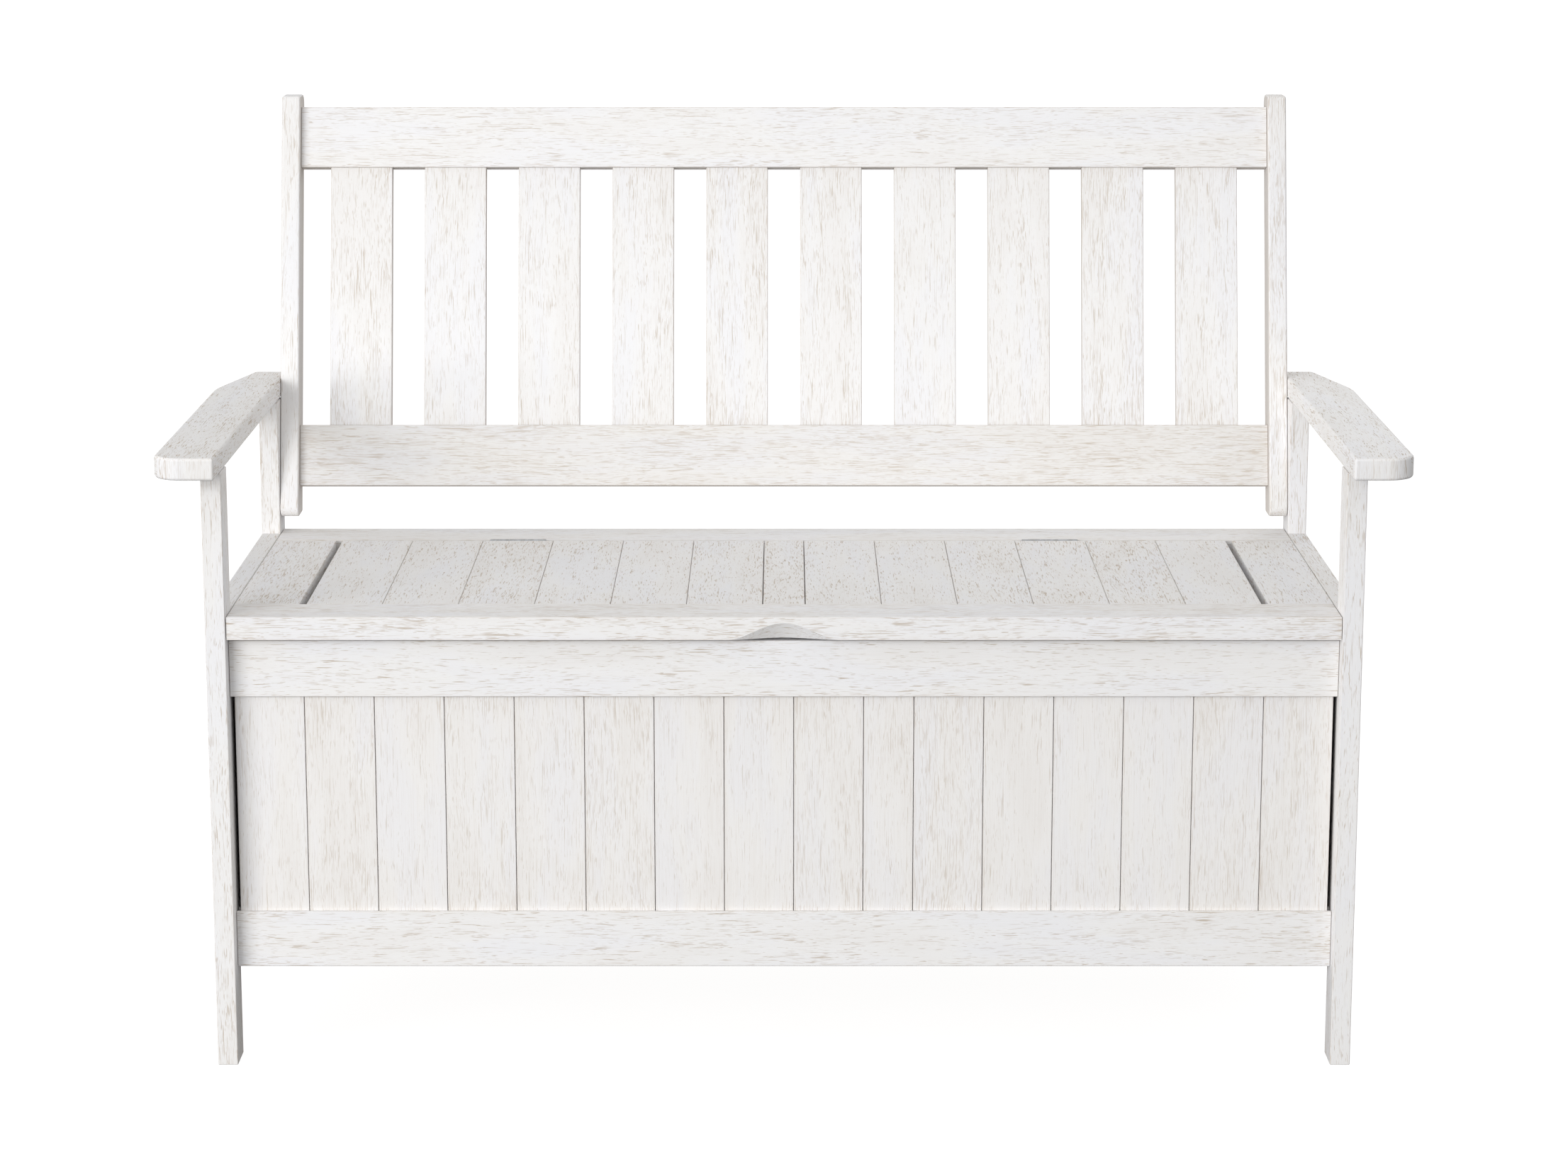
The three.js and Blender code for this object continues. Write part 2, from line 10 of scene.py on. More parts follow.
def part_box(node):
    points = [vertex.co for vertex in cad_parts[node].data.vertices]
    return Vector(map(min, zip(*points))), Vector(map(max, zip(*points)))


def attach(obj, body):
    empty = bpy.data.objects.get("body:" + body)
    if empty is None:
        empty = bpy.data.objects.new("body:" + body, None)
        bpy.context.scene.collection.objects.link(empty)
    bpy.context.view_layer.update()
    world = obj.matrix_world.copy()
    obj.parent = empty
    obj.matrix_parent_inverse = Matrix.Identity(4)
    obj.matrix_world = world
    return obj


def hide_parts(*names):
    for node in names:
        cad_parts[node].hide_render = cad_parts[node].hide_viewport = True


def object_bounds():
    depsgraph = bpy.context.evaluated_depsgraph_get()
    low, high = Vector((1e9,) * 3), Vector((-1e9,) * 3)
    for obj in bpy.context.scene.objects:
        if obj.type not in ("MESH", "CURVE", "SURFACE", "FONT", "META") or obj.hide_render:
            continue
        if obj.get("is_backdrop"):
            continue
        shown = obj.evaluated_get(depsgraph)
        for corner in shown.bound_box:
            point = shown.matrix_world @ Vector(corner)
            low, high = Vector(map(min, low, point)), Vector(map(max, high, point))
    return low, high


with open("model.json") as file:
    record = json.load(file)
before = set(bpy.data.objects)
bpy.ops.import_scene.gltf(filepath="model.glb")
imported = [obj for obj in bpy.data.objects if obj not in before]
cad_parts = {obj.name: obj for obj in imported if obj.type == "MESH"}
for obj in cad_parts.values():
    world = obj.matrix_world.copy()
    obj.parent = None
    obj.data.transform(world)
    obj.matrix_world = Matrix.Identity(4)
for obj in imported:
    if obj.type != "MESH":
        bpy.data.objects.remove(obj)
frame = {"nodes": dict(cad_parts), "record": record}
cad_low, cad_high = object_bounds()

# Posts. Four squared softwood posts, planed, brushed with the grain and washed white, so that the
# stain shows through in short streaks and along the worn edges. The finish and the joiner's steps
# that every other board shares are made here, with the first pieces that need them.
MM = 0.001
X_AXIS = Vector((1, 0, 0))
Y_AXIS = Vector((0, 1, 0))
Z_AXIS = Vector((0, 0, 1))
MERGE_REACH = 0.01 * MM
FLAT = math.radians(1)
CREASE = math.radians(30)
EASED_EDGE = 1.0 * MM
EASE_STEPS = 3
OFFSET_REACH = 40
LIGHTEST_LOAD = -0.03
HEAVIEST_LOAD = 0.035
WASH = (0.875, 0.867, 0.86, 1)
COOLER = (0.983, 0.99, 1.014)
STAIN = (0.435, 0.332, 0.225, 1)
FACE_WEIGHT = 80
END_FACING = 0.6
draw = random.Random(48)


def new_group(name, inputs, outputs):
    """An empty shader node group with named sockets. An input is a name, a kind and a start value."""
    group = bpy.data.node_groups.new(name, "ShaderNodeTree")
    for socket_name, kind, value in inputs:
        socket = group.interface.new_socket(socket_name, in_out="INPUT", socket_type=kind)
        if value is not None:
            socket.default_value = value
    for socket_name, kind in outputs:
        group.interface.new_socket(socket_name, in_out="OUTPUT", socket_type=kind)
    return group


class FinishMixer:
    """Lays shader nodes in one tree and wires them: a value is a number, a colour or another socket."""

    def __init__(self, tree):
        self.tree = tree

    def set(self, socket, value):
        if isinstance(value, bpy.types.NodeSocket):
            self.tree.links.new(value, socket)
        else:
            socket.default_value = value

    def math(self, operation, a, b=0.0, clamp=False):
        node = self.tree.nodes.new("ShaderNodeMath")
        node.operation = operation
        node.use_clamp = clamp
        self.set(node.inputs[0], a)
        self.set(node.inputs[1], b)
        return node.outputs[0]

    def vector(self, operation, a, b):
        node = self.tree.nodes.new("ShaderNodeVectorMath")
        node.operation = operation
        self.set(node.inputs[0], a)
        self.set(node.inputs[1], b)
        return node.outputs[0]

    def noise(self, place, stretch, detail=2.0, roughness=0.5):
        node = self.tree.nodes.new("ShaderNodeTexNoise")
        node.noise_dimensions = "3D"
        self.set(node.inputs["Vector"], self.vector("MULTIPLY", place, stretch))
        node.inputs["Scale"].default_value = 1.0
        node.inputs["Detail"].default_value = detail
        node.inputs["Roughness"].default_value = roughness
        return node.outputs["Fac"]

    def ramp(self, value, start, end, low=0.0, high=1.0):
        node = self.tree.nodes.new("ShaderNodeMapRange")
        node.interpolation_type = "SMOOTHSTEP"
        for name, number in (("From Min", start), ("From Max", end), ("To Min", low), ("To Max", high)):
            self.set(node.inputs[name], number)
        self.set(node.inputs["Value"], value)
        return node.outputs["Result"]

    def mix(self, share, a, b):
        node = self.tree.nodes.new("ShaderNodeMix")
        node.data_type = "RGBA"
        self.set(node.inputs["Factor"], share)
        self.set(node.inputs["A"], a)
        self.set(node.inputs["B"], b)
        return node.outputs["Result"]


def brushed_wash_group():
    """The white wash on brushed softwood. Grain, Place and Half are the board's own coordinates."""
    group = new_group(
        "Brushed wash",
        [
            ("Grain", "NodeSocketVector", None),
            ("Place", "NodeSocketVector", None),
            ("Half", "NodeSocketVector", None),
            ("Load", "NodeSocketFloat", 0.5),
            ("Wash", "NodeSocketColor", WASH),
            ("Stain", "NodeSocketColor", STAIN),
            ("Fineness", "NodeSocketFloat", 1.0),
            ("Streaks", "NodeSocketFloat", 0.4),
            ("Flecks", "NodeSocketFloat", 0.0),
            ("Lines", "NodeSocketFloat", 0.05),
            ("Sides", "NodeSocketFloat", 0.0),
            ("Wear", "NodeSocketFloat", 0.15),
        ],
        [("Color", "NodeSocketColor"), ("Roughness", "NodeSocketFloat"), ("Height", "NodeSocketFloat")],
    )
    lay = FinishMixer(group)
    given = group.nodes.new("NodeGroupInput").outputs
    made = group.nodes.new("NodeGroupOutput").inputs

    # The grain wanders a little from side to side along the board.
    wander = lay.noise(given["Grain"], (7, 20, 20), 1.0)
    sideways = lay.math("MULTIPLY", lay.math("SUBTRACT", wander, 0.5), 10 * MM)
    shift = group.nodes.new("ShaderNodeCombineXYZ")
    lay.set(shift.inputs["Y"], sideways)
    lay.set(shift.inputs["Z"], sideways)
    grain = lay.vector("ADD", given["Grain"], shift.outputs[0])
    narrow = group.nodes.new("ShaderNodeCombineXYZ")
    narrow.inputs["X"].default_value = 1
    lay.set(narrow.inputs["Y"], given["Fineness"])
    lay.set(narrow.inputs["Z"], given["Fineness"])
    fine = lay.vector("MULTIPLY", grain, narrow.outputs[0])

    # How near a point is to the board's edges and ends.
    size = group.nodes.new("ShaderNodeSeparateXYZ")
    away = lay.vector("SUBTRACT", given["Half"], lay.vector("ABSOLUTE", given["Place"], (0, 0, 0)))
    lay.set(size.inputs[0], away)
    from_end, from_side, from_face = size.outputs
    nearer = lay.math("MINIMUM", from_end, from_side)
    farther = lay.math("MAXIMUM", from_end, from_side)
    from_edge = lay.math("MAXIMUM", nearer, lay.math("MINIMUM", farther, from_face))
    ragged = lay.noise(grain, (60, 420, 420), 3.0)
    edge_line = lay.math("ADD", from_edge, lay.math("MULTIPLY", ragged, 1.6 * MM))
    edge = lay.ramp(edge_line, 2.1 * MM, 0.9 * MM)
    side_face = lay.ramp(lay.math("MINIMUM", from_side, from_end), 0.5 * MM, 0.1 * MM)
    margin = lay.ramp(lay.math("ADD", from_edge, lay.math("MULTIPLY", ragged, 6 * MM)), 10 * MM, 3 * MM)
    end = lay.ramp(from_end, 90 * MM, 5 * MM)

    # Streaks lie all over the board. They are thicker in patches, at the ends and near the sides.
    patch = lay.noise(grain, (11, 62, 62), 2.0)
    more = lay.math("ADD", lay.math("MULTIPLY", lay.math("SUBTRACT", patch, 0.5), 0.22), given["Load"])
    more = lay.math("ADD", more, lay.math("MULTIPLY", end, 0.02))
    more = lay.math("ADD", more, lay.math("MULTIPLY", margin, 0.012))
    strength = lay.ramp(lay.noise(grain, (30, 300, 300), 1.0), 0.35, 0.65, 0.45, 1.0)
    long_streak = lay.math("ADD", lay.noise(fine, (40, 800, 800), 1.5, 0.5), more)
    short_streak = lay.math("ADD", lay.noise(fine, (100, 880, 880), 1.0), more)
    long_streak = lay.ramp(long_streak, 0.595, 0.695)
    short_streak = lay.math("MULTIPLY", lay.ramp(short_streak, 0.62, 0.72), 0.85)
    streak = lay.math("MULTIPLY", lay.math("MAXIMUM", long_streak, short_streak), given["Streaks"])
    fleck = lay.math("ADD", lay.noise(fine, (70, 640, 640), 1.0, 0.6), more)
    fleck = lay.math("MULTIPLY", lay.ramp(fleck, 0.585, 0.675), given["Flecks"])
    fleck = lay.math("MULTIPLY", fleck, lay.ramp(from_end, 1 * MM, 6 * MM, 0.3, 1.0))
    streak = lay.math("MULTIPLY", lay.math("MAXIMUM", streak, fleck), strength)
    fine_line = lay.noise(fine, (9, 820, 820), 2.0, 0.6)

    # The wash itself lies in thicker, colder clouds and in thin ones where the wood warms it.
    cloud = lay.noise(grain, (5, 24, 24), 3.0, 0.55)
    cooler = lay.vector("MULTIPLY", given["Wash"], COOLER)
    cool = lay.mix(lay.ramp(cloud, 0.45, 0.65), given["Wash"], cooler)
    thin = lay.math("MULTIPLY", lay.ramp(cloud, 0.52, 0.34), 0.05)
    thin = lay.math("ADD", thin, lay.math("MULTIPLY", end, 0.02))
    thin = lay.math("ADD", thin, lay.math("MULTIPLY", margin, 0.02))
    thin = lay.math("ADD", thin, lay.math("MULTIPLY", lay.ramp(fine_line, 0.45, 0.72), given["Lines"]))
    # Worn edges, and side and end faces mixed towards the stain by Sides, which makes them darker and
    # browner.
    worn_edges_and_dark_sides = lay.math("MAXIMUM", lay.math("MULTIPLY", edge, given["Wear"]),
                    lay.math("MULTIPLY", side_face, given["Sides"]))
    bare = lay.math("MAXIMUM", streak, worn_edges_and_dark_sides)
    bare = lay.math("ADD", bare, thin, clamp=True)
    lay.set(made["Color"], lay.mix(bare, cool, given["Stain"]))
    lay.set(made["Roughness"], lay.ramp(bare, 0.0, 0.6, 0.62, 0.78))
    relief = lay.math("SUBTRACT", lay.math("MULTIPLY", fine_line, 0.25), bare)
    lay.set(made["Height"], relief)
    return group


brushed_wash = brushed_wash_group()


def washed_wood(name, streaks, flecks, lines, fineness=1.0, sides=0.0, wash=WASH):
    """One batch of washed timber, read in each board's own coordinates."""
    material = bpy.data.materials.new(name)
    material.use_nodes = True
    tree = material.node_tree
    surface = tree.nodes["Principled BSDF"]
    finish = tree.nodes.new("ShaderNodeGroup")
    finish.node_tree = brushed_wash
    for attribute, output, socket in (
        ("grain", "Vector", "Grain"), ("place", "Vector", "Place"), ("half", "Vector", "Half"),
        ("load", "Fac", "Load"),
    ):
        read = tree.nodes.new("ShaderNodeAttribute")
        read.attribute_name = attribute
        tree.links.new(read.outputs[output], finish.inputs[socket])
    finish.inputs["Streaks"].default_value = streaks
    finish.inputs["Flecks"].default_value = flecks
    finish.inputs["Lines"].default_value = lines
    finish.inputs["Fineness"].default_value = fineness
    finish.inputs["Wash"].default_value = wash
    finish.inputs["Sides"].default_value = sides
    bump = tree.nodes.new("ShaderNodeBump")
    bump.inputs["Strength"].default_value = 0.35
    bump.inputs["Distance"].default_value = 0.25 * MM
    tree.links.new(finish.outputs["Height"], bump.inputs["Height"])
    tree.links.new(finish.outputs["Color"], surface.inputs["Base Color"])
    tree.links.new(finish.outputs["Roughness"], surface.inputs["Roughness"])
    tree.links.new(bump.outputs["Normal"], surface.inputs["Normal"])
    surface.inputs["Specular IOR Level"].default_value = 0.3
    return material


def mark_board(mesh, along, across):
    """Gives a board its own coordinates: x along the grain, y across its face, z through it."""
    through = along.cross(across)
    local = [Vector((v.co.dot(along), v.co.dot(across), v.co.dot(through))) for v in mesh.vertices]
    low = Vector([min(p[i] for p in local) for i in range(3)])
    high = Vector([max(p[i] for p in local) for i in range(3)])
    middle, half = (low + high) / 2, (high - low) / 2
    offset = Vector([draw.uniform(-OFFSET_REACH, OFFSET_REACH) for _ in range(3)])
    load = draw.uniform(LIGHTEST_LOAD, HEAVIEST_LOAD)
    for name in ("place", "half"):
        mesh.attributes.new(name, "FLOAT_VECTOR", "POINT")
    mesh.attributes.new("load", "FLOAT", "POINT")
    mesh.attributes.new("grain", "FLOAT_VECTOR", "CORNER")
    for i, point in enumerate(local):
        mesh.attributes["place"].data[i].vector = point - middle
        mesh.attributes["half"].data[i].vector = half
        mesh.attributes["load"].data[i].value = load
    for face in mesh.polygons:
        at_end = abs(face.normal.dot(along)) > END_FACING
        for i in face.loop_indices:
            place = local[mesh.loops[i].vertex_index] - middle
            turned = Vector((place.z, place.y, place.x)) if at_end else place
            mesh.attributes["grain"].data[i].vector = turned + offset


def ease(bm, edges, offset, steps):
    """Rounds edges over by an offset on both of their faces."""
    bmesh.ops.bevel(
        bm, geom=edges, offset=offset, offset_type="OFFSET", segments=steps, profile=0.5, affect="EDGES",
        clamp_overlap=True, material=-1,
    )


def sharp_edges(bm):
    """The edges between two faces that meet at more than the crease angle."""
    return [e for e in bm.edges if e.is_manifold and e.calc_face_angle() > CREASE]


def put_in_bench(bm, name, nodes, body, material):
    """Makes a shaped piece an object in its finish, and says which body carries it."""
    mesh = bpy.data.meshes.new(name)
    bm.to_mesh(mesh)
    bm.free()
    mesh.shade_smooth()
    mesh.materials.append(material)
    piece = bpy.data.objects.new(name, mesh)
    bpy.context.scene.collection.objects.link(piece)
    even = piece.modifiers.new("even_shading", "WEIGHTED_NORMAL")
    even.weight = FACE_WEIGHT
    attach(piece, body)
    if nodes:
        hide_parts(*nodes)
    return piece


def finish_board(bm, name, nodes, body, material, along, across, edge=EASED_EDGE, slot="washed_wood"):
    """Eases the sharp edges of a shaped board, puts it in the bench and gives it its coordinates."""
    bm.normal_update()
    ease(bm, sharp_edges(bm), edge, EASE_STEPS)
    piece = put_in_bench(bm, name, nodes, body, material)
    mark_board(piece.data, along.normalized(), across.normalized())
    return piece


def sawn_board(node):
    """One board cut to its size in the frame: a copy of the solid with its faces made whole."""
    bm = bmesh.new()
    bm.from_mesh(frame["nodes"][node].data)
    bmesh.ops.remove_doubles(bm, verts=bm.verts, dist=MERGE_REACH)
    bmesh.ops.dissolve_limit(bm, angle_limit=FLAT, verts=bm.verts, edges=bm.edges)
    return bm


def board_from(node, body, material, along, across, **more):
    """Saws one board and finishes it."""
    return finish_board(sawn_board(node), f"{node}_wood", [node], body, material, along, across, **more)


frame_wood = washed_wood("washed_frame_wood", streaks=0.66, flecks=0.0, lines=0.04, fineness=1.3)
for end in ("front", "rear"):
    for side in ("left", "right"):
        board_from(f"{end}_post_{side}", "frame", frame_wood, Z_AXIS, X_AXIS)

# Armrests. Flat boards fixed on top of the posts, their front outer corners rounded and their
# rears narrowed. They lie level, so their streaks show as flecks.
NEAR = 0.1 * MM
ARM_EASE = 3 * MM
ARM_SHOULDER = 16 * MM
SHOULDER_STEPS = 4
arm_wood = washed_wood("washed_arm_wood", streaks=0.3, flecks=0.7, lines=0.03, fineness=1.15)
for side in ("left", "right"):
    node = f"armrest_{side}"
    arm_low, arm_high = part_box(node)
    outer = arm_low.x if side == "left" else arm_high.x
    bm = sawn_board(node)
    outer_verts = {v for v in bm.verts if abs(v.co.x - outer) < NEAR}
    shoulder_y = max(v.co.y for v in outer_verts)
    shoulder = {v for v in outer_verts if abs(v.co.y - shoulder_y) < NEAR}
    ease(bm, [e for e in bm.edges if shoulder.issuperset(e.verts)], ARM_SHOULDER, SHOULDER_STEPS)
    finish_board(bm, f"{node}_wood", [node], "frame", arm_wood, Y_AXIS, X_AXIS, edge=ARM_EASE)

# Rails of the box. Planed boards fixed between the posts at the top and bottom of the box. Their
# inner edges are grooved for the panels.
for place in ("front", "rear"):
    for level in ("top", "bottom"):
        board_from(f"{place}_{level}_rail", "frame", frame_wood, X_AXIS, Z_AXIS)
for side in ("left", "right"):
    for level in ("top", "bottom"):
        board_from(f"{side}_{level}_rail", "frame", frame_wood, Y_AXIS, Z_AXIS)

# Panels of the box. Upright matched boards, each with a tongue on one edge that enters the groove
# of the next, held in the rails' grooves. The eased face edges leave a fine V between two boards.
PANEL_WASH = (0.868, 0.852, 0.835, 1)
panel_wood = washed_wood(
    "washed_panel_wood", streaks=0.36, flecks=0.0, lines=0.08, fineness=1.15, wash=PANEL_WASH)
SEAM_GAP = 0.7 * MM
TONGUE_THICK = 3 * MM
TONGUE_REACH = 4 * MM
TONGUE_PLAY = 0.3 * MM
MATCH_EASE = 0.6 * MM
SEAM_REACH = 1 * MM


def of_kind(kind, geometry):
    """The parts of one kind, such as vertices, among what an operator has made."""
    return [part for part in geometry if isinstance(part, kind)]


def matched_board(name, width, thickness, bottom, top, place, node, first, last):
    """One tongued board, from its plan drawn with the face at y = 0, stood up and set in place."""
    left = -width / 2 + SEAM_GAP / 2
    right = width / 2 - SEAM_GAP / 2
    middle = thickness / 2
    tongue = TONGUE_THICK / 2
    groove = tongue + TONGUE_PLAY
    plan = [(left, 0), (right, 0)]
    if not last:
        reach = right + SEAM_GAP + TONGUE_REACH
        plan += [(right, middle - tongue), (reach, middle - tongue), (reach, middle + tongue),
                 (right, middle + tongue)]
    plan += [(right, thickness), (left, thickness)]
    if not first:
        depth = left + TONGUE_REACH + TONGUE_PLAY
        plan += [(left, middle + groove), (depth, middle + groove), (depth, middle - groove),
                 (left, middle - groove)]
    bm = bmesh.new()
    foot = bm.faces.new([bm.verts.new((x, y, bottom)) for x, y in plan])
    grown = bmesh.ops.extrude_face_region(bm, geom=[foot])["geom"]
    bmesh.ops.translate(bm, verts=of_kind(bmesh.types.BMVert, grown), vec=Z_AXIS * (top - bottom))
    bmesh.ops.recalc_face_normals(bm, faces=bm.faces)
    bmesh.ops.transform(bm, matrix=place, verts=bm.verts)
    across = (place.to_3x3() @ X_AXIS).normalized()
    return finish_board(bm, name, [node], "frame", panel_wood, Z_AXIS, across, edge=MATCH_EASE)


def panel_seams(node, width_axis):
    """Where the seams run in a panel's solid: the middle of each V, measured along the panel."""
    low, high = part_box(node)
    depth_axis = 1 - width_axis
    seams = set()
    for vertex in frame["nodes"][node].data.vertices:
        inside = min(vertex.co[depth_axis] - low[depth_axis], high[depth_axis] - vertex.co[depth_axis])
        if inside > SEAM_REACH:
            seams.add(round(vertex.co[width_axis], 5))
    return [low[width_axis], *sorted(seams), high[width_axis]]


PANEL_TURNS = {"front": 0, "rear": math.pi, "left": -math.pi / 2, "right": math.pi / 2}
for place, turn in PANEL_TURNS.items():
    node = f"{place}_panel"
    low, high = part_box(node)
    width_axis = 0 if place in ("front", "rear") else 1
    thickness = (high - low)[1 - width_axis]
    centre = (low + high) / 2
    seams = panel_seams(node, width_axis)
    facing = Matrix.Rotation(turn, 4, "Z")
    runs = list(zip(seams, seams[1:]))
    if (facing @ X_AXIS)[width_axis] < 0:
        runs.reverse()
    for number, (start, end) in enumerate(runs, 1):
        middle = Vector(((start + end) / 2, centre.y, 0)) if width_axis == 0 else Vector(
            (centre.x, (start + end) / 2, 0))
        set_in = Matrix.Translation(middle) @ facing @ Matrix.Translation((0, -thickness / 2, 0))
        matched_board(
            f"{place}_panel_board_{number}", end - start, thickness, low.z, high.z, set_in, node,
            first=number == 1, last=number == len(runs),
        )

# Floor of the box. A thin panel of bare softwood, laid on two cleats that run along the front and
# rear rails. It has no wash on it.
EARLY_WOOD = (0.66, 0.49, 0.31, 1)
LATE_WOOD = (0.50, 0.34, 0.19, 1)
PORES = (0.33, 0.21, 0.12, 1)


def bare_wood_material():
    """Unfinished sanded softwood: broad growth bands and fine pores along the grain."""
    material = bpy.data.materials.new("bare_softwood")
    material.use_nodes = True
    tree = material.node_tree
    lay = FinishMixer(tree)
    surface = tree.nodes["Principled BSDF"]
    read = tree.nodes.new("ShaderNodeAttribute")
    read.attribute_name = "grain"
    grain = read.outputs["Vector"]
    bands = lay.noise(grain, (1.6, 34, 34), 3.0, 0.6)
    pores = lay.noise(grain, (30, 900, 900), 2.0)
    color = lay.mix(lay.ramp(bands, 0.36, 0.66), EARLY_WOOD, LATE_WOOD)
    color = lay.mix(lay.math("MULTIPLY", lay.ramp(pores, 0.55, 0.75), 0.35), color, PORES)
    lay.set(surface.inputs["Base Color"], color)
    lay.set(surface.inputs["Roughness"], lay.ramp(pores, 0.4, 0.7, 0.62, 0.74))
    surface.inputs["Specular IOR Level"].default_value = 0.3
    return material


bare_wood = bare_wood_material()
for node in ("floor_panel", "floor_cleat_front", "floor_cleat_rear"):
    board_from(node, "frame", bare_wood, X_AXIS, Y_AXIS, slot="plain_wood")

# Seat. The rail behind the lid is fixed to the frame. The lid is a front rail, a row of boards and
# two battens under them, and it lifts as one.
SEAT_EASE = 0.6 * MM
RAIL_TOP_STEPS = 4
seat_wood = washed_wood("washed_seat_wood", streaks=0.2, flecks=0.62, lines=0.02)
board_from("seat_rear_rail", "frame", frame_wood, X_AXIS, Y_AXIS)
lid_rail_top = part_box("lid_front_rail")[1].z
bm = sawn_board("lid_front_rail")
upper = [e for e in bm.edges if all(v.co.z > lid_rail_top - NEAR for v in e.verts)]
ease(bm, upper, EASED_EDGE, RAIL_TOP_STEPS)
finish_board(bm, "lid_front_rail_wood", ["lid_front_rail"], "lid", frame_wood, X_AXIS, Y_AXIS)
board_from("lid_batten_front", "lid", frame_wood, X_AXIS, Y_AXIS)
board_from("lid_batten_rear", "lid", frame_wood, X_AXIS, Y_AXIS)
lid_boards = [n for n in frame["record"]["behaviour"]["bodies"]["lid"] if "board" in n]
for node in lid_boards:
    board_from(node, "lid", seat_wood, Y_AXIS, X_AXIS, edge=SEAT_EASE)

# Hinges. Two steel butt hinges let in between the lid and the rail behind it. A leaf is one plate with
# its knuckles rolled from it around the pin, bright zinc plated, and held by three countersunk screws.
LEAF_THICK = 0.9 * MM
ROLL_RADIUS = 2.2 * MM
ROLL_TURN = math.radians(325)
ROLL_STEPS = 26
SHOULDER_DROP = 0.5 * MM
KNUCKLE_PLAY = 0.2 * MM
LEAF_CORNER = 2.5 * MM
CORNER_STEPS = 5
STEEL_EASE = 0.15 * MM
STEEL_STEPS = 2
PIN_SIDES = 24
PIN_DOME = 0.2 * MM
PIN_DOME_SHARE = 0.35
CAP_FACING = 0.9
SCREW_SPREAD = 0.34
SCREW_SIDES = 24
SCREW_RADIUS = 2.9 * MM
SCREW_PROUD = 0.25 * MM
SCREW_SET_IN = 0.6 * MM
CROSS_REACH = 1.5 * MM
CROSS_HALF = 0.36 * MM
CROSS_DEPTH = 0.7 * MM
CROSS_TAPER = 0.55
BRIGHT_ZINC = (0.62, 0.63, 0.65, 1)
DULL_ZINC = (0.47, 0.47, 0.47, 1)
BRUSHED_ZINC = (0.33, 0.33, 0.34, 1)


def plated_steel_material():
    """Zinc plate on rolled steel: fine brushing along the hinge and duller, slightly blue clouds."""
    material = bpy.data.materials.new("zinc_plated_steel")
    material.use_nodes = True
    tree = material.node_tree
    lay = FinishMixer(tree)
    surface = tree.nodes["Principled BSDF"]
    place = tree.nodes.new("ShaderNodeTexCoord").outputs["Object"]
    cloud = lay.noise(place, (160, 220, 220), 3.0, 0.6)
    brushing = lay.noise(place, (90, 5200, 5200), 2.0)
    color = lay.mix(lay.ramp(cloud, 0.38, 0.66), BRIGHT_ZINC, DULL_ZINC)
    color = lay.mix(lay.math("MULTIPLY", lay.ramp(brushing, 0.5, 0.75), 0.3), color, BRUSHED_ZINC)
    lay.set(surface.inputs["Base Color"], color)
    lay.set(surface.inputs["Roughness"], lay.ramp(cloud, 0.3, 0.7, 0.32, 0.5))
    surface.inputs["Metallic"].default_value = 1.0
    bump = tree.nodes.new("ShaderNodeBump")
    bump.inputs["Strength"].default_value = 0.25
    bump.inputs["Distance"].default_value = 0.05 * MM
    lay.set(bump.inputs["Height"], brushing)
    lay.set(surface.inputs["Normal"], bump.outputs["Normal"])
    return material


plated_steel = plated_steel_material()


def finish_steel(bm, name, nodes, body):
    """Breaks the sharp edges of a steel part, plates it and puts it in the bench."""
    bmesh.ops.recalc_face_normals(bm, faces=bm.faces)
    ease(bm, sharp_edges(bm), STEEL_EASE, STEEL_STEPS)
    return put_in_bench(bm, name, nodes, body, plated_steel)


def loop_edges(loop):
    """The edges that join a ring of vertices."""
    pairs = zip(loop, loop[1:] + loop[:1])
    return [a.link_edges[[e.other_vert(a) for e in a.link_edges].index(b)] for a, b in pairs]


def add_screw(bm, place, facing):
    """A countersunk cross-head screw: the rim, the flat around the cross, and the cross cut into it."""
    rim = bmesh.ops.create_circle(bm, cap_ends=False, radius=SCREW_RADIUS, segments=SCREW_SIDES)["verts"]
    corners = [(CROSS_HALF, CROSS_REACH), (CROSS_HALF, CROSS_HALF), (CROSS_REACH, CROSS_HALF)]
    outline = []
    for _ in range(4):
        outline += corners
        corners = [(y, -x) for x, y in corners]
    cross = [bm.verts.new((x, y, 0)) for x, y in outline]
    for a, b in zip(cross, cross[1:] + cross[:1]):
        bm.edges.new((a, b))
    bmesh.ops.bridge_loops(bm, edges=loop_edges(rim) + loop_edges(cross))
    sunk = bmesh.ops.extrude_edge_only(bm, edges=loop_edges(cross))["geom"]
    pit = of_kind(bmesh.types.BMVert, sunk)
    bmesh.ops.scale(bm, verts=pit, vec=(CROSS_TAPER, CROSS_TAPER, 1))
    bmesh.ops.translate(bm, verts=pit, vec=(0, 0, -CROSS_DEPTH))
    bmesh.ops.contextual_create(bm, geom=of_kind(bmesh.types.BMEdge, sunk))
    lowered = bmesh.ops.extrude_edge_only(bm, edges=loop_edges(rim))["geom"]
    under = of_kind(bmesh.types.BMVert, lowered)
    bmesh.ops.translate(bm, verts=under, vec=(0, 0, -SCREW_PROUD - SCREW_SET_IN))
    bmesh.ops.contextual_create(bm, geom=of_kind(bmesh.types.BMEdge, lowered))
    turn = Z_AXIS.rotation_difference(facing).to_matrix().to_4x4()
    spin = Matrix.Rotation(draw.uniform(0, math.pi / 2), 4, "Z")
    stand = Matrix.Translation(place + facing * SCREW_PROUD) @ turn @ spin
    bmesh.ops.transform(bm, matrix=stand, verts=rim + cross + pit + under)


